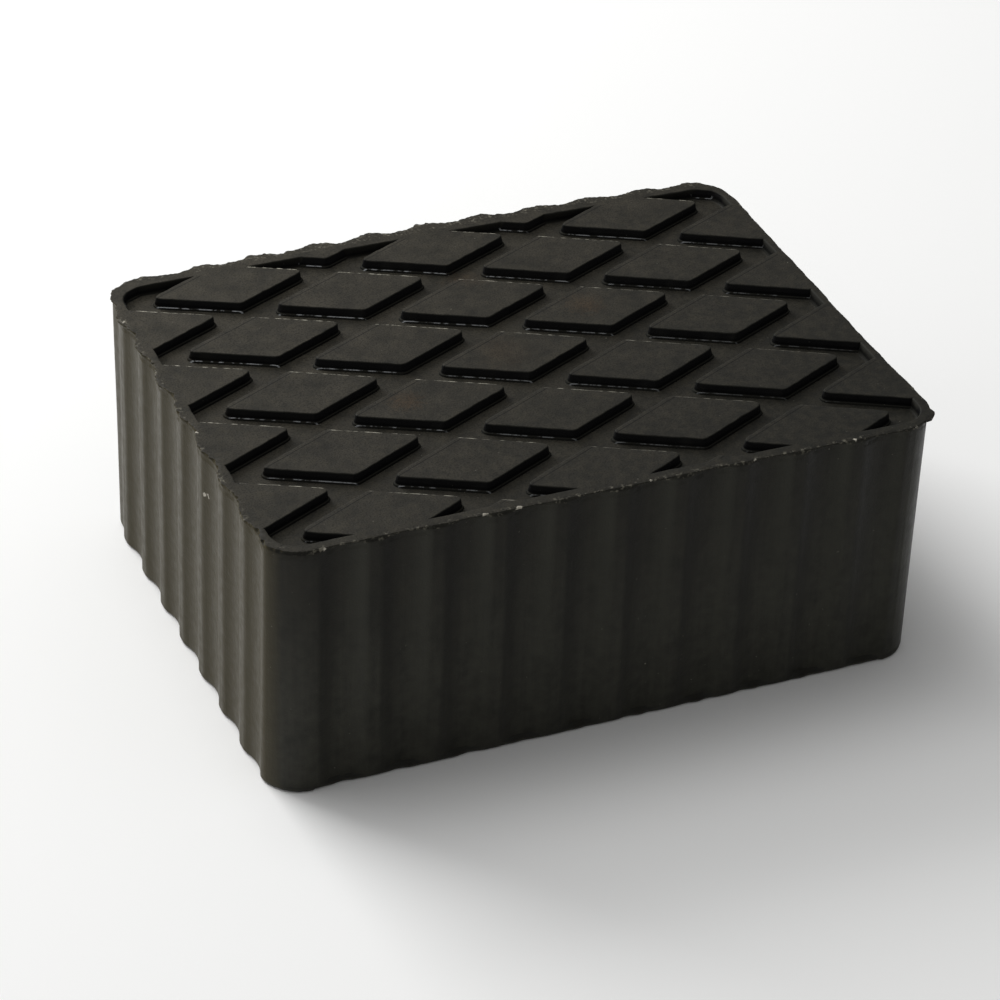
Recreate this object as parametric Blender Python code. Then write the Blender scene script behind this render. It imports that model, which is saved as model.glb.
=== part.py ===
# Rubber lift block: one moulded pad with fluted sides and a raised diamond tread on top.
# Units are metres. X runs along the long side, Y along the short side and Z up.
# The origin is the middle of the underside.
import math

import bmesh
import bpy

# Block
BLOCK_LENGTH = 0.160         # over the crests of the flutes
BLOCK_WIDTH = 0.120
BLOCK_HEIGHT = 0.064
CORNER_RADIUS = 0.010        # upright corners
SIDE_DRAFT = 0.0004          # how far each wall leans in between the top edge and the underside
UNDERSIDE_EDGE = 0.0008      # rounding round the underside

# Flutes down the four sides
FLUTE_PITCH = 0.01436
FLUTE_DEPTH = 0.0013
LONG_WALL_CREST = 0.0010     # how far a crest stands from the middle of each long wall
SHORT_WALL_CREST = 0.0018    # the same on each short wall

# Tread
RIM_WIDTH = 0.0031
POCKET_CORNER_RADIUS = 0.0060
GROOVE_DEPTH = 0.0025
GROOVE_WIDTH = 0.0059        # across a groove, between the top edges of two pads
PAD_PITCH_LONG = 0.0519      # between pads of one row, along X
PAD_PITCH_SHORT = 0.0257     # between pads of one column, along Y
PAD_CORNER_RADIUS = 0.0011
WALL_DRAFT = 0.0002          # how far a groove wall leans over its height
PAD_FOOT = 0.0006            # fillet where a pad's wall meets the groove floor
PAD_EDGE = 0.0003            # rounding along a pad's top edge
RIM_FOOT = 0.0008            # fillet where the rim's inner wall meets the groove floor
RIM_EDGE = 0.0004            # rounding along the rim's inner top edge

# Fineness of the facets, and how far the cutters run past the top
POINTS_PER_FLUTE = 8
STEPS_PER_CORNER = 4
STEPS_PER_ROUNDING = 2
CUTTER_OVERRUN = 0.0015

COLLECTION_NAME = "rubber_lift_block"
CUTTER_COLLECTION_NAME = "cutters"
NODE_NAME = "rubber_block"


def clear_scene():
    for old in list(bpy.data.objects):
        bpy.data.objects.remove(old, do_unlink=True)


def new_collection(name):
    collection = bpy.data.collections.new(name)
    bpy.context.scene.collection.children.link(collection)
    return collection


def black_rubber():
    material = bpy.data.materials.new("black_rubber")
    material.use_nodes = True
    shader = material.node_tree.nodes["Principled BSDF"]
    shader.inputs["Base Color"].default_value = (0.020, 0.019, 0.017, 1.0)
    shader.inputs["Roughness"].default_value = 0.62
    shader.inputs["Metallic"].default_value = 0.0
    return material


def flute_inset(along, crest):
    """How far the fluted wall lies inside its crest line, at a distance along the wall."""
    phase = 2.0 * math.pi * (along - crest) / FLUTE_PITCH
    return 0.5 * FLUTE_DEPTH * (1.0 - math.cos(phase))


def corner_inset(along, half_length):
    """How far the corner's arc lies inside the wall's line, at a distance along the wall."""
    past = abs(along) - (half_length - CORNER_RADIUS)
    if past <= 0.0:
        return 0.0
    return CORNER_RADIUS - math.sqrt(CORNER_RADIUS ** 2 - past ** 2)


def wall_points(half_length, half_width, crest):
    """The wall that faces -Y, from its left corner's middle to its right corner's middle."""
    straight = half_length - CORNER_RADIUS
    spacing = FLUTE_PITCH / POINTS_PER_FLUTE
    first = math.ceil((-straight - crest) / spacing)
    last = math.floor((straight - crest) / spacing)
    stations = [crest + spacing * step for step in range(first, last + 1)]
    for step in range(1, STEPS_PER_CORNER + 1):
        past = CORNER_RADIUS * math.sin(0.25 * math.pi * step / STEPS_PER_CORNER)
        stations += [-straight - past, straight + past]
    points = []
    for along in sorted(stations):
        inset = max(flute_inset(along, crest), corner_inset(along, half_length))
        points.append((along, -half_width + inset))
    return points


def block_outline():
    """The outline of the top, anticlockwise: four walls that meet in the middles of the corners."""
    half_length = 0.5 * BLOCK_LENGTH
    half_width = 0.5 * BLOCK_WIDTH
    front = wall_points(half_length, half_width, LONG_WALL_CREST)
    right = wall_points(half_width, half_length, SHORT_WALL_CREST)
    back = wall_points(half_length, half_width, -LONG_WALL_CREST)
    left = wall_points(half_width, half_length, -SHORT_WALL_CREST)
    outline = front[:-1]
    outline += [(-y, x) for x, y in right[:-1]]
    outline += [(-x, -y) for x, y in back[:-1]]
    outline += [(y, -x) for x, y in left[:-1]]
    return outline


def mesh_from_curve(curve_object, name):
    """Turn a filled curve into a closed mesh object, in the place of the curve."""
    bpy.context.view_layer.update()
    evaluated = curve_object.evaluated_get(bpy.context.evaluated_depsgraph_get())
    mesh = bpy.data.meshes.new_from_object(evaluated)
    mesh_object = bpy.data.objects.new(name, mesh)
    mesh_object.matrix_world = curve_object.matrix_world
    curve_object.users_collection[0].objects.link(mesh_object)
    bpy.data.objects.remove(curve_object, do_unlink=True)
    return mesh_object


def fluted_blank(collection):
    """The block before its tread is cut: the fluted outline, drawn down to the underside."""
    curve = bpy.data.curves.new(NODE_NAME + "_outline", "CURVE")
    curve.dimensions = "2D"
    curve.fill_mode = "BOTH"
    curve.extrude = 0.5 * BLOCK_HEIGHT
    outline = block_outline()
    spline = curve.splines.new("POLY")
    spline.points.add(len(outline) - 1)
    for point, (x, y) in zip(spline.points, outline):
        point.co = (x, y, 0.0, 1.0)
    spline.use_cyclic_u = True
    curve_object = bpy.data.objects.new(NODE_NAME + "_outline", curve)
    curve_object.location.z = 0.5 * BLOCK_HEIGHT
    collection.objects.link(curve_object)
    block = mesh_from_curve(curve_object, NODE_NAME)

    shaped = bmesh.new()
    shaped.from_mesh(block.data)
    bmesh.ops.remove_doubles(shaped, verts=shaped.verts, dist=0.00001)
    for side in (-1.0, 1.0):
        cap = [f for f in shaped.faces if all(side * v.co.z > 0.0 for v in f.verts)]
        bmesh.ops.dissolve_faces(shaped, faces=cap)
    underside = [v for v in shaped.verts if v.co.z < 0.0]
    lean = (1.0 - 2.0 * SIDE_DRAFT / BLOCK_LENGTH, 1.0 - 2.0 * SIDE_DRAFT / BLOCK_WIDTH, 1.0)
    bmesh.ops.scale(shaped, vec=lean, verts=underside)
    rim = [e for e in shaped.edges if all(v in underside for v in e.verts)]
    bmesh.ops.bevel(shaped, geom=rim, affect="EDGES", offset=UNDERSIDE_EDGE, offset_type="OFFSET",
                    segments=STEPS_PER_ROUNDING, profile=0.5, material=-1, clamp_overlap=True)
    shaped.to_mesh(block.data)
    shaped.free()
    block.data.shade_smooth()
    block.data.set_sharp_from_angle(angle=math.radians(35))
    return block


def quarter_round(radius, flat_first):
    """Points (inward, onward) round a quarter circle that starts flat, or ends flat."""
    points = []
    for step in range(1, STEPS_PER_ROUNDING + 1):
        turn = 0.5 * math.pi * step / STEPS_PER_ROUNDING
        far = radius * math.sin(turn)
        near = radius * (1.0 - math.cos(turn))
        points.append((far, near) if flat_first else (near, far))
    return points


def groove_wall_section(first_radius, last_radius):
    """A groove wall from one rounded end to the other, as points (inward, onward)."""
    section = [(0.0, 0.0)]
    section += quarter_round(first_radius, flat_first=True)
    wall_inward = first_radius + WALL_DRAFT
    wall_onward = GROOVE_DEPTH - last_radius
    section.append((wall_inward, wall_onward))
    for inward, onward in quarter_round(last_radius, flat_first=False):
        section.append((wall_inward + inward, wall_onward + onward))
    return section


def run_on(end, before_end):
    """Lengthen an end facet by half, so that it crosses the plane it ends on."""
    return (end[0] + 0.5 * (end[0] - before_end[0]), end[1] + 0.5 * (end[1] - before_end[1]))


def round_corners(shape, corners, radius, corner_angle):
    """Round the corners of a flat face, whose sides meet at corner_angle."""
    bmesh.ops.bevel(shape, geom=corners, affect="VERTICES", offset=radius / math.tan(0.5 * corner_angle),
                    offset_type="OFFSET", segments=STEPS_PER_CORNER, profile=0.5, material=-1)


def draw_out(shape, section):
    """Draw the one flat face of a shape out along its normal, following a section, and close its base."""
    face = next(iter(shape.faces))
    bmesh.ops.duplicate(shape, geom=[face])
    base = [f for f in shape.faces if f is not face]
    bmesh.ops.reverse_faces(shape, faces=base)
    for start, end in zip(section, section[1:]):
        bmesh.ops.inset_individual(shape, faces=[face], thickness=end[0] - start[0],
                                   depth=end[1] - start[1], use_even_offset=True)
    bmesh.ops.remove_doubles(shape, verts=shape.verts, dist=0.000001)
    bmesh.ops.recalc_face_normals(shape, faces=shape.faces)


def pad_shape(centre_x, centre_y):
    """One diamond pad, from just under the groove floor to above the top: foot fillet, wall, top edge."""
    section = groove_wall_section(PAD_FOOT, PAD_EDGE)
    section[0] = run_on(section[0], section[1])
    section[-1] = run_on(section[-1], section[-2])
    section.append((section[-1][0], section[-1][1] + 2.0 * CUTTER_OVERRUN))

    half_long = 0.5 * PAD_PITCH_LONG
    half_short = 0.5 * PAD_PITCH_SHORT
    sharp_angle = 2.0 * math.atan2(half_short, half_long)
    cell_reach = half_long * math.sin(0.5 * sharp_angle)
    spread = PAD_FOOT + WALL_DRAFT - section[0][0]
    scale = (cell_reach - 0.5 * GROOVE_WIDTH + spread) / cell_reach

    shape = bmesh.new()
    bmesh.ops.create_circle(shape, segments=4, radius=1.0, cap_ends=True)
    bmesh.ops.scale(shape, vec=(half_long * scale, half_short * scale, 1.0), verts=shape.verts)
    sharp_corners = [v for v in shape.verts if abs(v.co.x) > 0.5 * half_long * scale]
    blunt_corners = [v for v in shape.verts if abs(v.co.y) > 0.5 * half_short * scale]
    round_corners(shape, sharp_corners, PAD_CORNER_RADIUS + spread, sharp_angle)
    round_corners(shape, blunt_corners, PAD_CORNER_RADIUS + spread, math.pi - sharp_angle)
    base_height = BLOCK_HEIGHT - GROOVE_DEPTH + section[0][1]
    bmesh.ops.translate(shape, vec=(centre_x, centre_y, base_height), verts=shape.verts)
    draw_out(shape, section)
    return shape


def pocket_shape():
    """The recess inside the rim, from above the top down to the groove floor: top edge, wall, foot fillet."""
    section = groove_wall_section(RIM_EDGE, RIM_FOOT)
    section[0] = run_on(section[0], section[1])
    section.insert(0, (section[0][0], section[0][1] - CUTTER_OVERRUN))

    spread = RIM_EDGE - section[0][0]
    shape = bmesh.new()
    bmesh.ops.create_grid(shape, x_segments=1, y_segments=1, size=0.5)
    size = (BLOCK_LENGTH + 2.0 * (spread - RIM_WIDTH), BLOCK_WIDTH + 2.0 * (spread - RIM_WIDTH), 1.0)
    bmesh.ops.scale(shape, vec=size, verts=shape.verts)
    round_corners(shape, list(shape.verts), POCKET_CORNER_RADIUS + spread, 0.5 * math.pi)
    bmesh.ops.reverse_faces(shape, faces=shape.faces)
    bmesh.ops.translate(shape, vec=(0.0, 0.0, BLOCK_HEIGHT - section[0][1]), verts=shape.verts)
    draw_out(shape, section)
    return shape


def pad_centres():
    """Two staggered sets of rows, with one pad in the middle of the block."""
    columns = math.ceil((BLOCK_LENGTH - 2.0 * RIM_WIDTH) / PAD_PITCH_LONG)
    rows = math.ceil((BLOCK_WIDTH - 2.0 * RIM_WIDTH) / PAD_PITCH_SHORT)
    for column in range(-columns, columns + 1):
        for row in range(-rows, rows + 1):
            if (column + row) % 2 == 0:
                yield 0.5 * PAD_PITCH_LONG * column, 0.5 * PAD_PITCH_SHORT * row


def cutter_object(name, shape, collection):
    mesh = bpy.data.meshes.new(name)
    shape.to_mesh(mesh)
    shape.free()
    cutter = bpy.data.objects.new(name, mesh)
    cutter.display_type = "WIRE"
    cutter.hide_render = True
    collection.objects.link(cutter)
    return cutter


def subtract(target, tool, name):
    cut = target.modifiers.new(name, "BOOLEAN")
    cut.operation = "DIFFERENCE"
    cut.solver = "EXACT"
    cut.object = tool


def even_facets(target):
    """Share the large flat faces out among well-shaped triangles."""
    facets = target.modifiers.new("even_facets", "TRIANGULATE")
    facets.quad_method = "BEAUTY"
    facets.ngon_method = "BEAUTY"


def tread_cutter(collection):
    """The network of grooves: the pocket with every pad taken out of it."""
    pads = bmesh.new()
    for centre_x, centre_y in pad_centres():
        pad = pad_shape(centre_x, centre_y)
        piece = bpy.data.meshes.new("pad")
        pad.to_mesh(piece)
        pad.free()
        pads.from_mesh(piece)
        bpy.data.meshes.remove(piece)
    pads_object = cutter_object("tread_pads", pads, collection)
    pocket = cutter_object("tread_pocket", pocket_shape(), collection)
    subtract(pocket, pads_object, "leave_the_pads")
    return pocket


def build():
    clear_scene()
    block_collection = new_collection(COLLECTION_NAME)
    cutter_collection = new_collection(CUTTER_COLLECTION_NAME)
    block = fluted_blank(block_collection)
    block.data.materials.append(black_rubber())
    subtract(block, tread_cutter(cutter_collection), "cut_the_tread")
    even_facets(block)


build()
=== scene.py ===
# Rubber lift block: the looks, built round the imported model.
# Metres, +Z up, origin in the middle of the underside, X along the long side, front wall towards -Y.
import math

import bmesh
import bpy
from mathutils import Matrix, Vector, noise


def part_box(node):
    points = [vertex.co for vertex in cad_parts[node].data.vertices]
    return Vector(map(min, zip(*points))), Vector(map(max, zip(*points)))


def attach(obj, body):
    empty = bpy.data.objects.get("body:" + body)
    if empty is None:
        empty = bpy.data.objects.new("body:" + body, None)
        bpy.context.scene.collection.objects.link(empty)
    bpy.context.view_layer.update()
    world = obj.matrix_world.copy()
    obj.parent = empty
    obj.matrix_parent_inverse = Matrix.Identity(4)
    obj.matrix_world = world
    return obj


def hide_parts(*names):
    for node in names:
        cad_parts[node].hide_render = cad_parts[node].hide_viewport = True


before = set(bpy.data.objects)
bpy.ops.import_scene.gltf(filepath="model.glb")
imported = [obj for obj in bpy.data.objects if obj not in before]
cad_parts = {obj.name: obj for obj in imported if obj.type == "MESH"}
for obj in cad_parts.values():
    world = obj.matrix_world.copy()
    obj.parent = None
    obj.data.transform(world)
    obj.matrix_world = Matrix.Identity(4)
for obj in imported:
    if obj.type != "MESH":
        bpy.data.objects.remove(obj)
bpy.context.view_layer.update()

mm = 0.001
hair = 0.001 * mm                   # closer together than this is one place
blockNode = "rubber_block"
lowCorner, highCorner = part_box(blockNode)
halfLength = highCorner.x
halfWidth = highCorner.y
topHeight = highCorner.z

# The moulded block under its tread. Its sizes are those of the construction model. The flutes' hollow form,
# the way they lean and the back wall's bow follow the photo more closely than the model does.
blockShape = {
    "cornerRadius": 10.0 * mm,
    "undersideEdge": 0.8 * mm,
    "edgeSteps": 4,                 # rows of points up that rounded edge
    "flutePitch": 14.36 * mm,
    "fluteDepth": 1.3 * mm,
    "fluteLand": 3.5 * mm,          # the narrow crest between two hollows
    "landEdge": 0.42 * mm,          # how softly a hollow starts
    # Where one crest stands on each wall, as X or Y: at the underside and at the top.
    "crests": {"front": (1.4 * mm, 1.4 * mm), "right": (1.8 * mm, 1.8 * mm),
               "back": (2.1 * mm, 2.1 * mm), "left": (2.8 * mm, 0.8 * mm)},
    "cornerBlend": 1.0 * mm,        # how softly a flute runs into a corner
    "blendOver": 0.3,               # share of the corner's radius in which that softness comes in
    "lastValley": 4.0 * mm,         # no flute has its middle further round a corner than this
    "backBow": 0.8 * mm,            # the back wall bulges in its middle
    "outlineStep": 0.36 * mm,       # between points round the outline
    "wallHeights": (0.95, 1.2, 1.7, 8, 16, 24, 32, 40, 47, 53, 57, 59.5, 61.2,      # of the rows, in mm
                    62.4, 63.1, 63.3, 63.5, 63.7, 63.86, 63.96, 64),
    "sharpFrom": 40.0,              # degrees between two faces that are shaded as an edge
}

# The recess and its diamond pads.
treadShape = {
    "rimWidth": 3.1 * mm,
    "rightRimNarrower": 1.3 * mm,   # the recess reaches this much further on the right
    "pocketCornerRadius": 6.0 * mm,
    "grooveDepth": 2.5 * mm,
    "grooveWidth": 5.9 * mm,
    "padPitchLong": 51.9 * mm,
    "padPitchShort": 25.7 * mm,
    "padCornerRadius": 1.5 * mm,
    "wallDraft": 0.2 * mm,
    "padFoot": 0.6 * mm,            # how far a pad's ledge and foot stand out from its wall
    "padEdge": 0.3 * mm,
    "shift": (0.5 * mm, -0.5 * mm),     # the tread isn't quite in the middle
    # From below the groove's floor up to the wall, as (inward, height) in mm: a foot and a sloping ledge,
    # on which a thin broken highlight is painted on the front left side.
    "padLedge": ((-0.09, -0.12), (0.07, 0.03), (0.11, 0.10), (0.14, 0.24), (0.18, 0.31), (0.24, 0.36),
                 (0.38, 0.43), (0.44, 0.47), (0.48, 0.54), (0.50, 0.66)),
    "rimFoot": 0.8 * mm,
    "rimEdge": 0.4 * mm,
    "cornerSteps": 6,
    "roundingSteps": 4,
    "sideCuts": 15,                 # extra points along each side of a pad
    "recessCuts": 90,               # and along each side of the recess
    "endRun": 0.5,                  # the end facets of a section run on by this share of their length
    "overrun": 1.5 * mm,            # how far the recess's cutter stands above the top
    "patchSize": 2.9 * mm,          # the flat faces are cut into patches this wide
    "patchShift": 0.37,             # share of a patch that the cuts are moved by
    "flatFrom": 0.9,                # a face is flat where its normal's Z is above this
    "belowFloor": 0.1 * mm,
}
padHalfLong = 0.5 * treadShape["padPitchLong"]
padHalfShort = 0.5 * treadShape["padPitchShort"]
floorHeight = topHeight - treadShape["grooveDepth"]
treadFrom = floorHeight - treadShape["belowFloor"]      # what is higher belongs to the tread or the rim

# The unevenness of the real moulding: sizes of the swells and how far they lift.
unevenness = {
    "crown": 0.55 * mm,             # the top swells in the middle, along X
    "crownLean": 0.2,               # less of it in front and more at the back
    "crossCrown": 0.2 * mm,         # the swell along Y
    "topSwell": 0.05 * mm,
    "topSwellSize": 17.0 * mm,
    "topSwellPlane": 2.7,           # height of the slice through its pattern
    "swellFrom": 0.9,               # share of the floor's height at which the walls start to follow
    "edgeWobble": 0.17 * mm,        # of the pads' and the rim's upper edges
    "edgeWobbleSize": 1.9 * mm,
    "wobbleSeed": 1,                # never 0, which takes the time and so differs from run to run
    "wobbleDepths": (1.2 * mm, 0.4 * mm),       # below the top: where the wobble starts and is full
    "wobbleRim": 2.0 * mm,          # none of it this near the outline, where the flash has its own
    "wallSwell": 0.13 * mm,
    "wallSwellSize": 21.0 * mm,
    "wallSwellUp": 0.6,             # its pattern is drawn out upwards
}

# Flash: the thin fin of rubber that squeezed out along the top edge, torn off unevenly.
# Each wall has its own reach, at its start, middle and end along X or Y, and its own raggedness, all in mm.
# A torn spot is (along the wall, half width, depth), and a negative depth is a tag that stands out further.
flash = {
    "lowest": 63.1 * mm,            # where the fin starts to stand out from the wall
    "full": 63.7 * mm,              # from here up it has its full reach
    "topRounding": 0.14 * mm,
    "raggedSize": 3.1 * mm,
    "fineSize": 0.85 * mm,
    "finePlace": (7.3, 1.9, 4.1),   # where in its pattern the fine raggedness starts
    "tornPower": 0.7,               # below 1 a torn spot has a blunt bottom
    "left": {
        "reach": (-0.05, 0.28, 0.65), "fill": 0.0, "ragged": 0.17, "fine": 0.24,
        "torn": ((42.9, 1.5, -0.25), (36.9, 1.4, 0.55), (28.0, 0.5, 0.4), (24.4, 0.8, 0.55),
                 (23.0, 0.7, 0.4), (9.0, 1.3, 0.6), (5.7, 0.6, 0.3), (1.0, 0.5, 0.4),
                 (-3.2, 1.0, 0.35), (-7.0, 0.6, 0.35), (-19.8, 0.8, 0.65), (-23.2, 0.7, 0.45),
                 (-35.3, 0.8, 0.65), (-46.3, 0.5, 0.35), (-48.7, 1.2, 0.55), (-53.2, 1.1, 0.7)),
    },
    "back": {
        "reach": (0.5, 1.25, 0.9), "fill": 0.0, "ragged": 0.27, "fine": 0.2,
        "torn": ((-69.6, 1.0, -0.35), (-45.6, 0.9, -0.4), (-38.8, 0.45, -0.4), (-33.4, 0.9, -0.45),
                 (-26.4, 1.1, -0.35), (-12.0, 1.0, -0.5), (0.6, 1.1, -0.55), (3.2, 0.4, -0.4),
                 (17.5, 2.0, -0.3), (37.5, 1.2, 0.3), (74.4, 1.1, -0.45)),
    },
    "front": {
        "reach": (-0.45, -0.2, -0.2), "fill": 0.92, "ragged": 0.05, "fine": 0.05,
        "torn": ((-44.0, 0.5, 0.3), (-39.0, 1.2, -0.15), (-30.6, 1.0, 0.3), (-23.0, 0.35, 0.4),
                 (8.3, 0.8, 0.3), (33.3, 1.0, 0.3), (57.8, 1.3, -0.2), (70.8, 0.9, 0.25)),
    },
    "right": {
        "reach": (0.9, 0.2, 0.8), "fill": 0.92, "ragged": 0.08, "fine": 0.05,
        "torn": ((-22.0, 22.0, 0.3), (52.0, 2.0, 0.3)),
    },
    # A squared tag at the front right corner: angles in degrees, and reach in mm.
    "cornerTag": {"angle": -36.0, "halfAngle": 16.0, "square": 0.55, "reach": 1.0},
    # Along the foot of the front wall a low fin fills the flutes, broken off in places.
    "foot": {
        "lowest": 0.02 * mm, "full": 0.95 * mm, "top": 1.5 * mm, "fill": 0.8,
        "ragged": 0.55, "raggedSize": 4.3 * mm, "raggedPlane": 3.1 * mm,
        "facing": (0.6, 0.95),      # how squarely the wall faces forwards, where the fin starts and is full
        "cornerReach": 0.35 * mm,
    },
}


def softLarger(a, b, blend):
    # The larger of two values, with the change from one to the other rounded off.
    share = max(blend - abs(a - b), 0.0) / blend
    return max(a, b) + 0.25 * blend * share * share


def smoothStep(low, high, value):
    share = min(max((value - low) / (high - low), 0.0), 1.0)
    return share * share * (3.0 - 2.0 * share)


def outwards(x, y):
    # The direction straight out of the block's rounded rectangle.
    radius = blockShape["cornerRadius"]
    coreX = min(max(x, radius - halfLength), halfLength - radius)
    coreY = min(max(y, radius - halfWidth), halfWidth - radius)
    return Vector((x - coreX, y - coreY)).normalized()


def wallAt(x, y):
    # The wall that a place on the outline belongs to, the distance along it and half its length.
    away = outwards(x, y)
    if abs(away.x) > abs(away.y):
        return ("right" if away.x > 0.0 else "left"), y, halfWidth
    return ("back" if away.y > 0.0 else "front"), x, halfLength


def fluteInset(x, y, z):
    # How far the flutes pull in a place on the rounded rectangle.
    radius = blockShape["cornerRadius"]
    wall, along, halfSpan = wallAt(x, y)
    foot, top = blockShape["crests"][wall]
    halfPitch = 0.5 * blockShape["flutePitch"]
    fromCrest = along - foot - (top - foot) * z / topHeight
    valleySide = (fromCrest % (2.0 * halfPitch)) - halfPitch
    fromValley = abs(valleySide)
    hollow = fromValley / (halfPitch - 0.5 * blockShape["fluteLand"])
    fluted = softLarger(blockShape["fluteDepth"] * (1.0 - hollow * hollow), 0.0, blockShape["landEdge"])
    past = abs(along) - (halfSpan - radius)
    if past <= 0.0:
        return fluted
    if abs(along - valleySide) > halfSpan - radius + blockShape["lastValley"]:
        return 0.0
    corner = radius - math.sqrt(max(radius ** 2 - past ** 2, 0.0))
    blend = blockShape["cornerBlend"] * smoothStep(0.0, blockShape["blendOver"] * radius, past)
    return softLarger(fluted, corner, max(blend, hair)) - corner


def wallStations(halfSpan):
    # Distances along a wall, from the middle of one corner to the middle of the next.
    radius = blockShape["cornerRadius"]
    step = blockShape["outlineStep"]
    straight = halfSpan - radius
    count = round(2.0 * straight / step)
    stations = [-straight + 2.0 * straight * k / count for k in range(count + 1)]
    arcCount = round(0.25 * math.pi * radius / step)
    arc = [radius * math.sin(0.25 * math.pi * k / arcCount) for k in range(1, arcCount + 1)]
    return [-straight - past for past in reversed(arc)] + stations + [straight + past for past in arc]


def blockOutline():
    # The plain rounded rectangle, anticlockwise from the front left corner.
    radius = blockShape["cornerRadius"]
    outline = []
    walls = (
        (halfLength, halfWidth, lambda along, out: (along, -out)),
        (halfWidth, halfLength, lambda along, out: (out, along)),
        (halfLength, halfWidth, lambda along, out: (-along, out)),
        (halfWidth, halfLength, lambda along, out: (-out, -along)),
    )
    for halfSpan, halfAcross, place in walls:
        for along in wallStations(halfSpan)[:-1]:
            past = max(abs(along) - (halfSpan - radius), 0.0)
            outline.append(place(along, halfAcross - radius + math.sqrt(radius ** 2 - past ** 2)))
    return outline


def tornDepth(along, torn):
    # How much the torn spots take off the fin at one place along a wall, in mm.
    depth = 0.0
    for middle, halfSpan, deep in torn:
        reach = abs(along / mm - middle) / halfSpan
        if reach < 1.0:
            depth += deep * (1.0 - reach) ** flash["tornPower"]
    return depth


def flashReach(x, y, away):
    # How far the fin stands out at one place on the outline: the four walls share a corner by direction.
    shares = {"left": max(-away.x, 0.0) ** 2, "right": max(away.x, 0.0) ** 2,
              "front": max(-away.y, 0.0) ** 2, "back": max(away.y, 0.0) ** 2}
    place = Vector((x, y, 0.0))
    ragged = noise.noise(place / flash["raggedSize"])
    fine = noise.noise(place / flash["fineSize"] + Vector(flash["finePlace"]))
    reach = 0.0
    for wall, share in shares.items():
        if share == 0.0:
            continue
        facts = flash[wall]
        along, halfSpan = (y, halfWidth) if wall in ("left", "right") else (x, halfLength)
        start, middle, end = facts["reach"]
        part = along / halfSpan
        bow = middle + 0.5 * (end - start) * part + (0.5 * (start + end) - middle) * part * part
        filled = facts["fill"] * fluteInset(x, y, topHeight) / mm
        reach += share * (bow + filled + 2.0 * facts["ragged"] * ragged + 2.0 * facts["fine"] * fine
                          - tornDepth(along, facts["torn"]))
    tag = flash["cornerTag"]
    turn = abs(math.degrees(math.atan2(away.y, away.x)) - tag["angle"]) / tag["halfAngle"]
    if turn < 1.0:
        reach += tag["reach"] * min((1.0 - turn) / (1.0 - tag["square"]), 1.0)
    return reach * mm


def footReach(x, y, away):
    # How far the fin at the front wall's foot stands out: at most to the line of the crests.
    foot = flash["foot"]
    share = smoothStep(*foot["facing"], -away.y)
    if share == 0.0:
        return 0.0
    straight = abs(x) < halfLength - blockShape["cornerRadius"]
    hollow = fluteInset(x, y, 0.0) if straight else foot["cornerReach"]
    ragged = noise.noise(Vector((x, 0.0, foot["raggedPlane"])) / foot["raggedSize"])
    return share * hollow * (foot["fill"] + foot["ragged"] * ragged)


def meshObject(name, shape):
    mesh = bpy.data.meshes.new(name)
    shape.to_mesh(mesh)
    shape.free()
    made = bpy.data.objects.new(name, mesh)
    bpy.context.scene.collection.objects.link(made)
    return made


def flutedBlank():
    # A disc takes the outline and is drawn up row by row, and each row is then shaped by its height.
    outline = blockOutline()
    shape = bmesh.new()
    bmesh.ops.create_circle(shape, segments=len(outline), radius=1.0, cap_ends=True)
    shape.verts.ensure_lookup_table()
    turned = sorted(shape.verts, key=lambda v: math.atan2(v.co.y, v.co.x))
    start = min(range(len(outline)), key=lambda k: math.atan2(outline[k][1], outline[k][0]))
    for k, vert in enumerate(turned):
        x, y = outline[(start + k) % len(outline)]
        vert.co = (x, y, 0.0)
    edge = blockShape["undersideEdge"]
    steps = blockShape["edgeSteps"]
    heights = [edge * (1.0 - math.cos(0.5 * math.pi * k / steps)) for k in range(1, steps + 1)]
    heights += [height * mm for height in blockShape["wallHeights"]]
    cap = next(iter(shape.faces))
    below = 0.0
    for height in heights:
        drawn = bmesh.ops.extrude_face_region(shape, geom=[cap, *cap.edges, *cap.verts])
        cap = next(f for f in drawn["geom"] if isinstance(f, bmesh.types.BMFace))
        bmesh.ops.translate(shape, vec=(0.0, 0.0, height - below), verts=cap.verts)
        below = height
    bmesh.ops.remove_doubles(shape, verts=shape.verts, dist=hair)
    shapeWalls(shape)
    bmesh.ops.recalc_face_normals(shape, faces=shape.faces)
    return meshObject("block_blank", shape)


def shapeWalls(shape):
    # Moves each point of the plain block straight in or out, by all that its wall does at that height.
    edge = blockShape["undersideEdge"]
    foot = flash["foot"]
    rounding = flash["topRounding"]
    swellSize = unevenness["wallSwellSize"]
    swellUp = unevenness["wallSwellUp"]
    for vert in shape.verts:
        x, y, z = vert.co
        away = outwards(x, y)
        offset = -fluteInset(x, y, z)
        offset += blockShape["backBow"] * max(away.y, 0.0) ** 2 * (1.0 - (x / halfLength) ** 2)
        if z < edge:
            offset -= edge - math.sqrt(edge ** 2 - (edge - z) ** 2)
        offset += unevenness["wallSwell"] * noise.noise(Vector((x, y, swellUp * z)) / swellSize)
        low = 1.0 - smoothStep(foot["full"], foot["top"], z)
        if low > 0.0 and z > foot["lowest"]:
            offset += low * footReach(x, y, away)
        lift = smoothStep(flash["lowest"], flash["full"], z)
        if lift > 0.0:
            offset += lift * flashReach(x, y, away)
        if z > topHeight - rounding:
            offset -= rounding - math.sqrt(max(rounding ** 2 - (z - topHeight + rounding) ** 2, 0.0))
        vert.co.x = x + away.x * offset
        vert.co.y = y + away.y * offset


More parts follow.
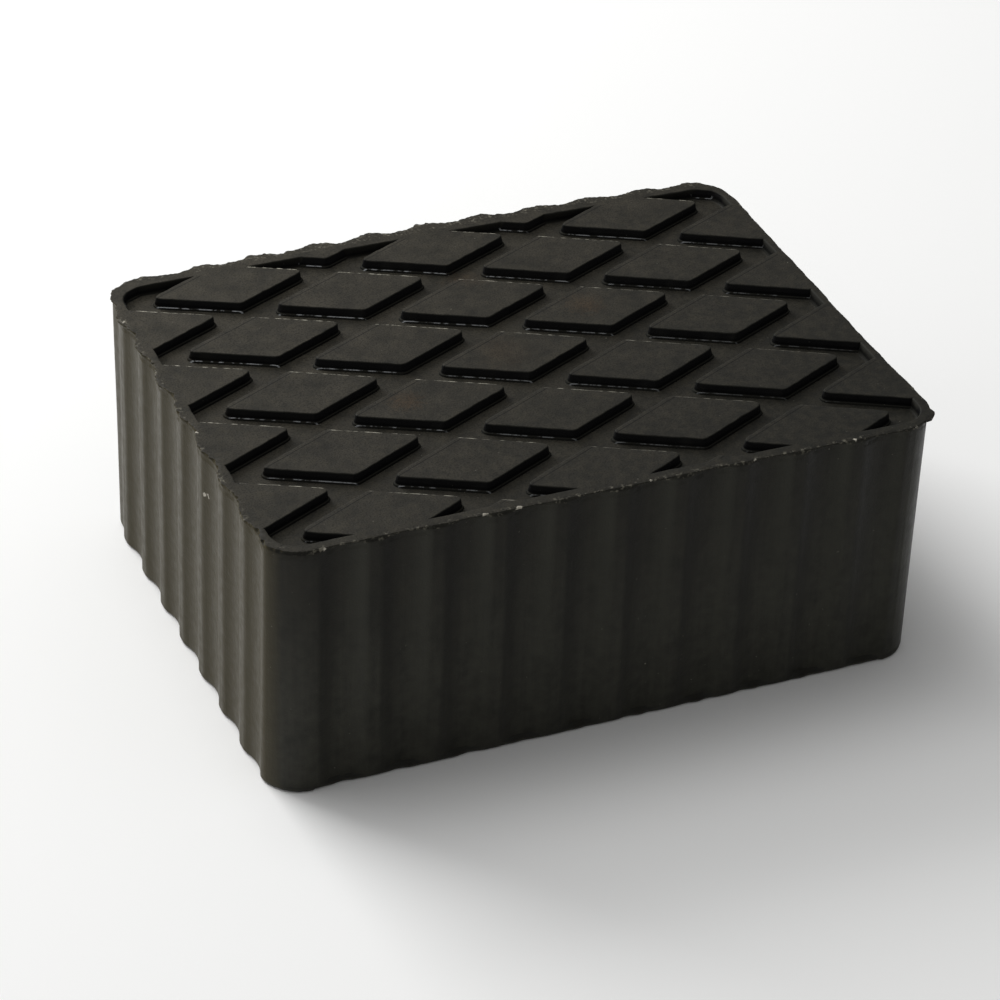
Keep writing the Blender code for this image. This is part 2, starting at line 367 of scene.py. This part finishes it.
def quarterRound(radius, flatFirst):
    # A quarter circle as (inward, onward), which starts out flat or upright.
    steps = treadShape["roundingSteps"]
    turns = [0.5 * math.pi * k / steps for k in range(1, steps + 1)]
    points = [(radius * math.sin(turn), radius * (1.0 - math.cos(turn))) for turn in turns]
    return points if flatFirst else [(onward, inward) for inward, onward in points]


def grooveSection(firstRadius, lastRadius):
    # A groove's wall from one rounded end to the other, as (inward, onward). Both ends run on a little.
    section = [(0.0, 0.0)] + quarterRound(firstRadius, True)
    wallInward = firstRadius + treadShape["wallDraft"]
    wallOnward = treadShape["grooveDepth"] - lastRadius
    section.append((wallInward, wallOnward))
    section += [(wallInward + inward, wallOnward + onward)
                for inward, onward in quarterRound(lastRadius, False)]
    run = treadShape["endRun"]
    for end, beside in ((0, 1), (-1, -2)):
        section[end] = tuple((1.0 + run) * a - run * b for a, b in zip(section[end], section[beside]))
    return section


def roundedPolygon(shape, corners, radius, angle):
    # Rounds corners whose sides meet at the given angle.
    bmesh.ops.bevel(shape, geom=corners, affect="VERTICES", offset=radius / math.tan(0.5 * angle),
                    offset_type="OFFSET", segments=treadShape["cornerSteps"], profile=0.5, material=-1)


def drawOut(shape, section):
    # Draws the one face up along a section. A copy of it, turned over, closes the bottom.
    face = next(iter(shape.faces))
    bmesh.ops.duplicate(shape, geom=[face])
    bmesh.ops.reverse_faces(shape, faces=[f for f in shape.faces if f is not face])
    for begin, end in zip(section, section[1:]):
        bmesh.ops.inset_individual(shape, faces=[face], thickness=end[0] - begin[0],
                                   depth=end[1] - begin[1], use_even_offset=True)
    bmesh.ops.remove_doubles(shape, verts=shape.verts, dist=hair)
    bmesh.ops.recalc_face_normals(shape, faces=shape.faces)


def padSection():
    # The same section as a groove's, but its foot is a ledge.
    section = grooveSection(treadShape["padFoot"], treadShape["padEdge"])
    ledge = [(inward * mm, height * mm) for inward, height in treadShape["padLedge"]]
    section = ledge + section[treadShape["roundingSteps"] + 1:]
    # Straight up past the top of the recess's cutter.
    section.append((section[-1][0], section[-1][1] + 2.0 * treadShape["overrun"]))
    return section


def diamondPad(centreX, centreY):
    section = padSection()
    sharpAngle = 2.0 * math.atan2(padHalfShort, padHalfLong)
    cellReach = padHalfLong * math.sin(0.5 * sharpAngle)
    spread = treadShape["padFoot"] + treadShape["wallDraft"] - section[0][0]
    scale = (cellReach - 0.5 * treadShape["grooveWidth"] + spread) / cellReach
    shape = bmesh.new()
    bmesh.ops.create_circle(shape, segments=4, radius=1.0, cap_ends=True)
    bmesh.ops.scale(shape, vec=(padHalfLong * scale, padHalfShort * scale, 1.0), verts=shape.verts)
    sharpCorners = [v for v in shape.verts if abs(v.co.x) > 0.5 * padHalfLong * scale]
    bluntCorners = [v for v in shape.verts if abs(v.co.y) > 0.5 * padHalfShort * scale]
    roundedPolygon(shape, sharpCorners, treadShape["padCornerRadius"] + spread, sharpAngle)
    roundedPolygon(shape, bluntCorners, treadShape["padCornerRadius"] + spread, math.pi - sharpAngle)
    sides = [e for e in shape.edges if e.calc_length() > padHalfShort]
    bmesh.ops.subdivide_edges(shape, edges=sides, cuts=treadShape["sideCuts"])
    base = floorHeight + section[0][1]
    bmesh.ops.translate(shape, vec=(centreX, centreY, base), verts=shape.verts)
    drawOut(shape, section)
    return shape


def recess():
    # The recess inside the rim, drawn from above the top down to the groove's floor.
    section = grooveSection(treadShape["rimEdge"], treadShape["rimFoot"])
    section.insert(0, (section[0][0], section[0][1] - treadShape["overrun"]))
    spread = treadShape["rimEdge"] - section[0][0]
    width = 2.0 * (spread - treadShape["rimWidth"])
    shape = bmesh.new()
    bmesh.ops.create_grid(shape, x_segments=1, y_segments=1, size=0.5)
    further = treadShape["rightRimNarrower"]
    size = (2.0 * halfLength + width + further, 2.0 * halfWidth + width, 1.0)
    bmesh.ops.scale(shape, vec=size, verts=shape.verts)
    roundedPolygon(shape, list(shape.verts), treadShape["pocketCornerRadius"] + spread, 0.5 * math.pi)
    sides = [e for e in shape.edges if e.calc_length() > halfWidth]
    bmesh.ops.subdivide_edges(shape, edges=sides, cuts=treadShape["recessCuts"])
    bmesh.ops.reverse_faces(shape, faces=shape.faces)
    bmesh.ops.translate(shape, vec=(0.5 * further, 0.0, topHeight - section[0][1]), verts=shape.verts)
    drawOut(shape, section)
    return shape


def padCentres():
    # Every other place of an even lattice.
    shiftX, shiftY = treadShape["shift"]
    columns = math.ceil(halfLength / padHalfLong)
    rows = math.ceil(halfWidth / padHalfShort)
    for column in range(-columns, columns + 1):
        for row in range(-rows, rows + 1):
            if (column + row) % 2 == 0:
                yield padHalfLong * column + shiftX, padHalfShort * row + shiftY


def cutAway(target, tool):
    # Takes the tool out of the target for good, and removes the tool.
    cut = target.modifiers.new("cut", "BOOLEAN")
    cut.operation = "DIFFERENCE"
    cut.solver = "EXACT"
    cut.object = tool
    bpy.context.view_layer.update()
    evaluated = target.evaluated_get(bpy.context.evaluated_depsgraph_get())
    result = bpy.data.meshes.new_from_object(evaluated)
    target.modifiers.clear()
    old = target.data
    target.data = result
    bpy.data.meshes.remove(old)
    bpy.data.objects.remove(tool, do_unlink=True)


def treadCutter():
    # The recess without the pads, so that cutting it out of the block leaves them standing.
    pads = bmesh.new()
    for centreX, centreY in padCentres():
        pad = diamondPad(centreX, centreY)
        piece = bpy.data.meshes.new("pad")
        pad.to_mesh(piece)
        pad.free()
        pads.from_mesh(piece)
        bpy.data.meshes.remove(piece)
    cutter = meshObject("tread_cutter", recess())
    cutAway(cutter, meshObject("tread_pads", pads))
    return cutter


def cutIntoPatches(shape):
    # Planes along both directions of the pads' sides cut the flat top faces into patches that can swell.
    size = treadShape["patchSize"]
    reach = halfLength + halfWidth
    count = math.ceil(reach / size)
    for lean in (-1.0, 1.0):
        normal = Vector((padHalfShort, lean * padHalfLong, 0.0)).normalized()
        for k in range(-count, count + 1):
            middle = (k + treadShape["patchShift"]) * size
            upper = [f for f in shape.faces
                     if f.normal.z > treadShape["flatFrom"] and f.calc_center_median().z > treadFrom]
            near = []
            for face in upper:
                sides = [normal.dot(v.co) - middle for v in face.verts]
                if min(sides) < 0.0 < max(sides):
                    near.append(face)
            if not near:
                continue
            # Each edge and vertex once, in an order that stays the same from run to run.
            edges = dict.fromkeys(e for f in near for e in f.edges)
            verts = dict.fromkeys(v for f in near for v in f.verts)
            bmesh.ops.bisect_plane(shape, geom=[*verts, *edges, *near], dist=2.0 * hair,
                                   plane_co=normal * middle, plane_no=normal)


def swellTop(shape):
    # The top is a little higher in its middle, and the upper edges of the pads and the rim wobble a little.
    lean = unevenness["crownLean"]
    plane = Vector((0.0, 0.0, unevenness["topSwellPlane"]))
    wobbleStart, wobbleFull = unevenness["wobbleDepths"]
    rim = unevenness["wobbleRim"]
    noise.seed_set(unevenness["wobbleSeed"])
    for vert in shape.verts:
        x, y, z = vert.co
        share = smoothStep(unevenness["swellFrom"] * treadFrom, treadFrom, z)
        if share == 0.0:
            continue
        crown = (1.0 - min(abs(x) / halfLength, 1.0) ** 2) * (1.0 - lean + lean * y / halfWidth)
        crossCrown = 1.0 - min(abs(y) / halfWidth, 1.0) ** 2
        swell = noise.noise(Vector((x, y, 0.0)) / unevenness["topSwellSize"] + plane)
        lift = unevenness["crown"] * crown + unevenness["crossCrown"] * crossCrown
        lift += 2.0 * unevenness["topSwell"] * swell
        vert.co.z = z + share * lift
        inside = abs(x) < halfLength - rim and abs(y) < halfWidth - rim
        upper = smoothStep(topHeight - wobbleStart, topHeight - wobbleFull, z)
        if inside and upper > 0.0:
            wobble = noise.noise_vector(Vector((x, y, z)) / unevenness["edgeWobbleSize"])
            vert.co.x = x + unevenness["edgeWobble"] * upper * wobble.x
            vert.co.y = y + unevenness["edgeWobble"] * upper * wobble.y


def rubberBlock():
    block = flutedBlank()
    print("blank:", len(block.data.polygons), "faces")
    cutAway(block, treadCutter())
    print("tread cut:", len(block.data.polygons), "faces")
    shape = bmesh.new()
    shape.from_mesh(block.data)
    cutIntoPatches(shape)
    swellTop(shape)
    bmesh.ops.triangulate(shape, faces=[f for f in shape.faces if len(f.verts) > 4],
                          quad_method="BEAUTY", ngon_method="BEAUTY")
    shape.to_mesh(block.data)
    shape.free()
    block.name = "moulded_block"
    block.data.name = "moulded_block"
    block.data.shade_smooth()
    block.data.set_sharp_from_angle(angle=math.radians(blockShape["sharpFrom"]))
    weighted = block.modifiers.new("flat faces stay flat", "WEIGHTED_NORMAL")
    weighted.keep_sharp = True
    return block


block = rubberBlock()
print("block:", len(block.data.polygons), "faces")


def linear(hexColour):
    # An sRGB hex colour as linear red, green, blue and alpha.
    values = []
    for k in (1, 3, 5):
        value = int(hexColour[k:k + 2], 16) / 255.0
        values.append(value / 12.92 if value <= 0.04045 else ((value + 0.055) / 1.055) ** 2.4)
    return (*values, 1.0)


def addNode(tree, kind, settings=None, links=None):
    # Adds a node. Settings are attributes or input values, and links are input name or number to output.
    node = tree.nodes.new(kind)
    for name, value in (settings or {}).items():
        if isinstance(name, int) or name in node.inputs:
            node.inputs[name].default_value = value
        else:
            setattr(node, name, value)
    for name, output in (links or {}).items():
        tree.links.new(output, node.inputs[name])
    return node


def newMaterial(name):
    material = bpy.data.materials.new(name)
    material.use_nodes = True
    tree = material.node_tree
    return material, tree, tree.nodes["Principled BSDF"]


# Compression-moulded black rubber, cast against milled steel. That gives the eye a satin skin with a fine
# grain and faint flow lines down the walls. Dust lies on the tread, which is lighter towards the back left.
# Painted light and shade: the wall that faces left and the front flutes' left flanks are lighter, their
# right flanks, the upper front and the up-facing faces darker, the pads' walls and ledges dark, with painted
# highlights along the pads' back right edges and on the ledges and dark lines along their back left edges.
# The ledges are dull. IOR 1.5 is typical of rubber, with the mirror part lowered for its dull, bloomed skin.
rubberFinish = {
    "skin": "#272723",
    # The light and deep tones give the skin's random blotches, mottle, flow lines and grain, and also serve
    # as painted light and shade on the front flutes, the upper front and the top.
    "lightToneAndPaintedLight": "#3a3a33",
    "deepToneAndPaintedShade": "#171612",
    "topMottle": "#4b4639",
    "wallShadeColour": "#0e0e10",        # painted shade on the walls and ledges in the recess
    "leftWallPaintedLight": "#3d361f",         # warm painted light on the wall that faces left
    "topFilm": "#454138",           # thin dust on the tread
    "lighterTowards": (-0.65, 0.75, 0.0),      # the tread is lighter towards the back left
    "stain": "#4e3c28",
    # painted highlight along the pads' back right edges
    "edgeHighlightColour": "#bdb9aa",
    # painted highlight on the ledges at the pads' front left walls
    "ledgeDust": "#9a9c9e",
    # painted shade along the pads' back left edges
    "edgeShadeColour": "#060606",
    "rubbed": "#7d796c",
    "speck": "#77746a",
    "chip": "#a9a498",
    "ior": 1.5,
    "specular": 0.13,
    "ledgeSpecular": 0.02,
    "roughnessFrom": (0.3, 0.7),    # values of the blotches that give the least and the most roughness
    "topRoughness": (0.50, 0.66),
    "wallRoughness": (0.34, 0.46),
    "ledgeRoughness": 0.6,
    "edgeRoughness": 0.75,
    # Bump depths in mm, from the lowest layer up.
    "bumps": {"blotch": 0.07, "flow": 0.05, "grain": 0.045},
    # Each pattern's size in mm and its detail. The real grain is finer, and is drawn coarse enough to show.
    "patterns": {
        "cloud": (23.0, 5.0), "mottle": (6.5, 5.0), "blotch": (2.2, 5.0), "breaks": (1.7, 5.0),
        "speck": (0.75, 1.0), "grain": (0.42, 1.0), "flow": (1.3, 3.0),
    },
    "flowUp": 0.06,                 # the flow lines are drawn out upwards by this scale
    # Masks from 0 to 1: what each one reads, where it is 0 and where it is 1. "out" is how far out a place
    # is, "outX" is the same along X alone, and "backLeft" is how far towards the back left.
    "masks": {
        "up": ("facingZ", 0.75, 0.97),
        "wall": ("facingZ", 0.5, 0.2),
        "tilted": ("facingZ", 0.985, 0.93),
        "frontal": ("facingY", -0.4, -0.7),
        "frontWall": ("facingY", -0.7, -0.85),
        "leftWall": ("facingX", -0.65, -0.95),
        "leftSlope": ("facingX", -0.03, -0.35),
        "rightSlope": ("facingX", 0.03, 0.30),
        "high": ("placeZ", topHeight - 1.0 * mm, topHeight - 0.4 * mm),
        "lip": ("placeZ", topHeight - 0.9 * mm, topHeight - 0.4 * mm),
        "aboveFloor": ("placeZ", floorHeight + 0.15 * mm, floorHeight + 0.3 * mm),
        "belowWall": ("placeZ", floorHeight + 1.6 * mm, floorHeight + 1.2 * mm),
        "upper": ("placeZ", -30.0 * mm, 55.0 * mm),
        "upperHalf": ("placeZ", 25.0 * mm, 58.0 * mm),
        "leftSide": ("placeX", -60.0 * mm, -75.0 * mm),
        # more towards the back left: the tread's film, and the painted highlights on the pads' edges and
        # ledges
        "towardsBackLeft": ("backLeft", -halfLength, halfLength),
        "inside": ("out", -3.0 * mm, -3.35 * mm),
        "outside": ("out", -1.5 * mm, -0.7 * mm),
        "clearOfCorner": ("outX", -8.0 * mm, -12.0 * mm),
        "cloudy": ("cloud", 0.35, 0.65),
        "dusty": ("mottle", 0.18, 0.72),
        "deep": ("mottle", 0.5, 0.3),
        "light": ("blotch", 0.38, 0.66),
        "broken": ("breaks", 0.44, 0.62),
        "ledgeBroken": ("breaks", 0.45, 0.57),
        "rubbing": ("speck", 0.50, 0.66),
        "crumb": ("speck", 0.79, 0.83),
        "grainy": ("grain", 0.45, 0.7),
        "flowing": ("flow", 0.38, 0.66),
    },
    # Masks made of others, each the product of two and a share.
    "products": {
        "film": ("up", "dusty", 1.0),
        "backFilm": ("film", "towardsBackLeft", 1.0),
        "topFilm": ("backFilm", "up", 0.9),
        # painted shade: the up-facing faces are darker than the walls
        "paintedShadeOnTop": ("up", "up", 0.6),
        "topGrain": ("up", "grainy", 0.6),
        "mottled": ("up", "light", 0.18),
        "stain": ("stained", "cloudy", 0.4),
        "crumbs": ("crumb", "cloudy", 0.8),
        "lightSkin": ("light", "wall", 0.4),
        "flowLight": ("flowing", "wall", 0.28),
        "deepSkin": ("deep", "wall", 0.3),
        "wallMottle": ("wall", "dusty", 0.1),
        # painted light on the wall that faces left
        "paintedLeftLight": ("leftWall", "leftSide", 0.75),
        # painted shade on the upper half of the front
        "paintedShadeUpperFront": ("frontal", "upperHalf", 0.7),
        "frontPart": ("frontWall", "clearOfCorner", 1.0),
        "flutedFront": ("frontPart", "upper", 1.0),
        # painted light on the front flutes' left flanks and painted shade on their right flanks
        "paintedLightFrontLeft": ("flutedFront", "leftSlope", 0.5),
        "paintedShadeFrontRight": ("flutedFront", "rightSlope", 0.85),
        "topEdge": ("high", "tilted", 1.0),
        "outerLip": ("outside", "lip", 1.0),
        "rubbedPart": ("outerLip", "rubbing", 0.75),
        "rubbedLip": ("rubbedPart", "broken", 0.8),
        "padTop": ("high", "inside", 1.0),
        "brokenTop": ("padTop", "broken", 0.9),
        "farTop": ("brokenTop", "towardsBackLeft", 1.2),
        # painted highlight along the pads' back right edges, and painted shade along their back left edges
        "paintedEdgeHighlight": ("edgeHighlightBand", "farTop", 1.0),
        "paintedEdgeShade": ("edgeShadeBand", "padTop", 0.75),
        # painted shade on the walls in the recess
        "paintedWallShade": ("wall", "inside", 0.9),
        "ledgeBand": ("aboveFloor", "belowWall", 1.0),
        "ledgeSlope": ("ledgeBand", "tilted", 1.0),
        "grooveLedges": ("ledgeSlope", "inside", 0.92),
        # painted shade on the ledges round the pads
        "ledgeShade": ("ledgeSlope", "inside", 0.25),
        "ledge": ("ledgeSlope", "ledgeBroken", 1.0),
        "ledgeInside": ("ledge", "inside", 1.0),
        # painted highlight on the ledges at the pads' front left walls
        "ledgeDust": ("ledgeLine", "ledgeInside", 1.0),
        "ledgeDusty": ("ledgeDust", "towardsBackLeft", 1.25),
    },
    # Layers of colour over the skin, from the lowest up: colour and mask. Among them are painted light on
    # the left wall and front flanks, and painted shade and highlights on the front, the top, the recess and
    # the pads' edges.
    "layers": (
        ("lightToneAndPaintedLight", "lightSkin"), ("lightToneAndPaintedLight", "flowLight"), ("deepToneAndPaintedShade", "deepSkin"),
        ("deepToneAndPaintedShade", "paintedShadeUpperFront"), ("topMottle", "wallMottle"), ("lightToneAndPaintedLight", "paintedLightFrontLeft"),
        ("deepToneAndPaintedShade", "paintedShadeFrontRight"), ("leftWallPaintedLight", "paintedLeftLight"), ("deepToneAndPaintedShade", "paintedShadeOnTop"),
        ("topFilm", "topFilm"), ("topMottle", "mottled"), ("stain", "stain"), ("deepToneAndPaintedShade", "topGrain"),
        ("wallShadeColour", "paintedWallShade"), ("wallShadeColour", "ledgeShade"), ("ledgeDust", "ledgeDusty"),
        ("edgeShadeColour", "paintedEdgeShade"), ("edgeHighlightColour", "paintedEdgeHighlight"), ("rubbed", "rubbedLip"),
        ("speck", "crumbs"), ("chip", "chipped"),
    ),
    # Thin lines along the pads' edges, for the painted highlights and shade: lean of the side, then distance
    # from a pad's middle and half width in mm.
    "edgeLines": {
        "edgeHighlightBand": (1.0, 8.3, 0.17), "edgeShadeBand": (-1.0, 7.4, 0.17), "ledgeLine": (1.0, -9.03, 0.13),
    },
    # Brown stains on the tread: x, y and radius in mm.
    "stains": ((-3.4, 0.0, 9.0), (24.0, 14.1, 6.0), (3.8, 35.8, 7.0), (-31.0, -12.0, 5.0)),
    # Pale crumbs and chips: x, y, z and radius in mm.
    "chips": ((-79.7, 42.7, 64.0, 0.45), (-79.9, -4.1, 64.0, 0.4), (-78.9, -8.0, 64.2, 0.5),
              (-80.4, -31.6, 64.0, 0.5), (-67.7, -59.7, 63.8, 0.55), (-30.9, -59.7, 64.2, 0.8),
              (-23.2, -59.7, 64.2, 0.8), (8.0, -59.7, 64.4, 0.55), (33.1, -59.7, 64.3, 0.6),
              (57.9, -59.7, 63.9, 0.6), (73.6, -59.7, 63.8, 0.45), (-79.6, -14.5, 52.4, 0.45),
              (-79.6, -15.7, 52.7, 0.55), (-79.6, -17.0, 53.0, 0.55), (-79.3, -18.4, 53.3, 0.45),
              (-79.3, -47.0, 37.4, 0.4), (-79.3, -51.1, 39.1, 0.4)),
    # How far a spot's edge wanders, in mm, and the share of its radius that is full.
    "spotEdges": {"stained": (9.0, 0.15), "chipped": (1.6, 0.6)},
    "wanderSize": 1.1,
    "wanderDetail": 3.0,
}


def placeReadings(tree, place):
    # How far towards the back left a place is, and how far out, measured so that the recess's four walls are
    # equally far out.
    backwards = addNode(tree, "ShaderNodeVectorMath",
                        {"operation": "DOT_PRODUCT", 1: rubberFinish["lighterTowards"]}, {0: place})
    offMiddle = 0.5 * treadShape["rightRimNarrower"]
    evened = addNode(tree, "ShaderNodeVectorMath", {"operation": "SUBTRACT", 1: (offMiddle, 0.0, 0.0)},
                     {0: place})
    spread = addNode(tree, "ShaderNodeVectorMath", {"operation": "ABSOLUTE"}, {0: evened.outputs[0]})
    beyond = addNode(tree, "ShaderNodeVectorMath",
                     {"operation": "SUBTRACT", 1: (halfLength + offMiddle, halfWidth, 0.0)},
                     {0: spread.outputs[0]})
    outer = addNode(tree, "ShaderNodeSeparateXYZ", links={0: beyond.outputs[0]})
    outermost = addNode(tree, "ShaderNodeMath", {"operation": "MAXIMUM"},
                        {0: outer.outputs["X"], 1: outer.outputs["Y"]})
    return {"backLeft": backwards.outputs["Value"], "outX": outer.outputs["X"], "out": outermost.outputs[0]}


def padLines(tree, place):
    # The pads stand in even rows: places are wrapped to one pad, and a line is a narrow band by its edge.
    side = math.hypot(padHalfLong, padHalfShort)
    halfCell = padHalfLong * padHalfShort / side
    fromMiddle = addNode(tree, "ShaderNodeVectorMath",
                         {"operation": "SUBTRACT", 1: (*treadShape["shift"], 0.0)}, {0: place})
    masks = {}
    for name, (lean, middle, halfSpan) in rubberFinish["edgeLines"].items():
        acrossLine = (lean * padHalfShort / side, padHalfLong / side, 0.0)
        across = addNode(tree, "ShaderNodeVectorMath", {"operation": "DOT_PRODUCT", 1: acrossLine},
                         {0: fromMiddle.outputs[0]})
        inPad = addNode(tree, "ShaderNodeMath", {"operation": "WRAP", 1: halfCell, 2: -halfCell},
                        {0: across.outputs["Value"]})
        fromLine = addNode(tree, "ShaderNodeMath", {"operation": "SUBTRACT", 1: middle * mm},
                           {0: inPad.outputs[0]})
        off = addNode(tree, "ShaderNodeMath", {"operation": "ABSOLUTE"}, {0: fromLine.outputs[0]})
        made = addNode(tree, "ShaderNodeMapRange",
                       {"From Min": halfSpan * mm, "From Max": 0.5 * halfSpan * mm},
                       {"Value": off.outputs[0]})
        masks[name] = made.outputs[0]
    return masks


def roundSpots(tree, place):
    # Stains and chips: round spots with their edges broken up by a small shift of the place.
    look = rubberFinish
    shift = addNode(tree, "ShaderNodeTexNoise",
                    {"Scale": 1.0 / (look["wanderSize"] * mm), "Detail": look["wanderDetail"]},
                    {"Vector": place})
    centred = addNode(tree, "ShaderNodeVectorMath", {"operation": "SUBTRACT", 1: (0.5, 0.5, 0.5)},
                      {0: shift.outputs["Color"]})
    spots = {"stained": [(x, y, topHeight / mm, radius) for x, y, radius in look["stains"]],
             "chipped": look["chips"]}
    masks = {}
    for name, (wander, full) in look["spotEdges"].items():
        moved = addNode(tree, "ShaderNodeVectorMath", {"operation": "MULTIPLY_ADD", 1: (wander * mm,) * 3},
                        {0: centred.outputs[0], 2: place})
        nearest = None
        for x, y, z, radius in spots[name]:
            far = addNode(tree, "ShaderNodeVectorMath",
                          {"operation": "DISTANCE", 1: (x * mm, y * mm, z * mm)}, {0: moved.outputs[0]})
            near = addNode(tree, "ShaderNodeMapRange",
                           {"From Min": radius * mm, "From Max": full * radius * mm},
                           {"Value": far.outputs["Value"]})
            if nearest is None:
                nearest = near.outputs[0]
            else:
                nearest = addNode(tree, "ShaderNodeMath", {"operation": "MAXIMUM"},
                                  {0: nearest, 1: near.outputs[0]}).outputs[0]
        masks[name] = nearest
    return masks


def mouldedBlackRubber():
    look = rubberFinish
    material, tree, shader = newMaterial("mouldedBlackRubber")
    space = addNode(tree, "ShaderNodeTexCoord")
    place = space.outputs["Object"]
    reading = placeReadings(tree, place)
    for name, source in (("place", place), ("facing", space.outputs["Normal"])):
        parts = addNode(tree, "ShaderNodeSeparateXYZ", links={0: source})
        for axis in "XYZ":
            reading[name + axis] = parts.outputs[axis]
    stretched = addNode(tree, "ShaderNodeMapping", {"Scale": (1.0, 1.0, look["flowUp"])}, {"Vector": place})
    for name, (size, detail) in look["patterns"].items():
        made = addNode(tree, "ShaderNodeTexNoise", {"Scale": 1.0 / (size * mm), "Detail": detail},
                       {"Vector": stretched.outputs[0] if name == "flow" else place})
        reading[name] = made.outputs[0]

    mask = {**padLines(tree, place), **roundSpots(tree, place)}
    for name, (source, low, high) in look["masks"].items():
        made = addNode(tree, "ShaderNodeMapRange", {"From Min": low, "From Max": high},
                       {"Value": reading[source]})
        mask[name] = made.outputs[0]
    for name, (one, other, share) in look["products"].items():
        scaled = addNode(tree, "ShaderNodeMath", {"operation": "MULTIPLY", 1: share}, {0: mask[one]})
        mask[name] = addNode(tree, "ShaderNodeMath", {"operation": "MULTIPLY"},
                             {0: scaled.outputs[0], 1: mask[other]}).outputs[0]

    # Colour: the skin, then one layer over another.
    tone = None
    for colour, name in look["layers"]:
        settings = {"data_type": "RGBA", 6: linear(look["skin"]), 7: linear(look[colour])}
        links = {0: mask[name]}
        if tone:
            links[6] = tone
        tone = addNode(tree, "ShaderNodeMix", settings, links).outputs[2]
    tree.links.new(tone, shader.inputs["Base Color"])

    # Roughness: satin walls, and a duller tread, ledges and top edges.
    low, high = look["roughnessFrom"]
    satin = []
    for least, most in (look["topRoughness"], look["wallRoughness"]):
        made = addNode(tree, "ShaderNodeMapRange",
                       {"From Min": low, "From Max": high, "To Min": least, "To Max": most},
                       {"Value": reading["blotch"]})
        satin.append(made.outputs[0])
    both = addNode(tree, "ShaderNodeMix", {"data_type": "FLOAT"},
                   {0: mask["wall"], 2: satin[0], 3: satin[1]})
    rough = both.outputs[0]
    for value, name in ((look["ledgeRoughness"], "ledge"), (look["edgeRoughness"], "topEdge")):
        layer = addNode(tree, "ShaderNodeMix", {"data_type": "FLOAT", 3: value}, {0: mask[name], 2: rough})
        rough = layer.outputs[0]
    tree.links.new(rough, shader.inputs["Roughness"])

    # The mirror part: less of it on the ledges between the pads.
    mirror = addNode(tree, "ShaderNodeMix",
                     {"data_type": "FLOAT", 2: look["specular"], 3: look["ledgeSpecular"]},
                     {0: mask["grooveLedges"]})
    tree.links.new(mirror.outputs[0], shader.inputs["Specular IOR Level"])
    shader.inputs["IOR"].default_value = look["ior"]

    # Bump: shallow blotches, the flow lines and grain.
    normal = None
    for name, depth in look["bumps"].items():
        links = {"Height": reading[name]}
        if normal:
            links["Normal"] = normal
        made = addNode(tree, "ShaderNodeBump", {"Strength": 1.0, "Distance": depth * mm}, links)
        normal = made.outputs[0]
    tree.links.new(normal, shader.inputs["Normal"])
    return material


block.data.materials.clear()
block.data.materials.append(mouldedBlackRubber())
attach(block, "root")
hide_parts(blockNode)


# The camera stands where the photo was taken from, found by fitting the tread and the block's edges.
cameraPlace = {
    "location": (-276.1 * mm, -628.0 * mm, 482.4 * mm),
    "turn": (56.188, -1.804, -22.401),      # degrees about X, Y and Z
    "lens": 125.72,
    "sensor": 36.0,
    "nearest": 0.01,
}


def photoCamera():
    data = bpy.data.cameras.new("photo_camera")
    data.lens = cameraPlace["lens"]
    data.sensor_width = cameraPlace["sensor"]
    data.clip_start = cameraPlace["nearest"]
    camera = bpy.data.objects.new("photo_camera", data)
    camera.location = cameraPlace["location"]
    camera.rotation_euler = [math.radians(turn) for turn in cameraPlace["turn"]]
    bpy.context.scene.collection.objects.link(camera)
    bpy.context.scene.camera = camera


# Soft studio light: each lamp is a square panel aimed at the block.
studio = {
    "floorColour": "#fafaf9",
    "floorRoughness": 0.9,
    "floorSpecular": 0.1,
    "floorRadius": 6.0,
    "floorSegments": 96,
    "floorDrop": 0.05 * mm,         # the floor lies this far under the block
    "worldColour": "#ffffff",
    "worldStrength": 0.28,
    "lamps": {
        "key_panel": {"place": (-0.65, 1.35, 0.95), "size": 1.0, "power": 25.0},
        "side_panel": {"place": (-1.3, 0.1, 0.45), "size": 0.6, "power": 1.3},
        "top_panel": {"place": (-0.3, 0.4, 1.3), "size": 0.8, "power": 6.5},
    },
}


def studioFloor():
    shape = bmesh.new()
    bmesh.ops.create_circle(shape, segments=studio["floorSegments"], radius=studio["floorRadius"],
                            cap_ends=True)
    bmesh.ops.translate(shape, vec=(0.0, 0.0, -studio["floorDrop"]), verts=shape.verts)
    floor = meshObject("floor", shape)
    material, tree, shader = newMaterial("paleFloor")
    shader.inputs["Base Color"].default_value = linear(studio["floorColour"])
    shader.inputs["Roughness"].default_value = studio["floorRoughness"]
    shader.inputs["Specular IOR Level"].default_value = studio["floorSpecular"]
    floor.data.materials.append(material)


def studioLamps():
    for name, facts in studio["lamps"].items():
        data = bpy.data.lights.new(name, "AREA")
        data.size = facts["size"]
        data.energy = facts["power"]
        lamp = bpy.data.objects.new(name, data)
        lamp.location = facts["place"]
        aim = Vector((0.0, 0.0, 0.5 * topHeight)) - lamp.location
        lamp.rotation_euler = aim.to_track_quat("-Z", "Y").to_euler()
        bpy.context.scene.collection.objects.link(lamp)
    world = bpy.data.worlds.new("studio")
    world.use_nodes = True
    background = world.node_tree.nodes["Background"]
    background.inputs["Color"].default_value = linear(studio["worldColour"])
    background.inputs["Strength"].default_value = studio["worldStrength"]
    bpy.context.scene.world = world


photoCamera()
studioFloor()
studioLamps()
bpy.context.scene.view_settings.view_transform = "Standard"
print("camera, floor and lamps are in place")
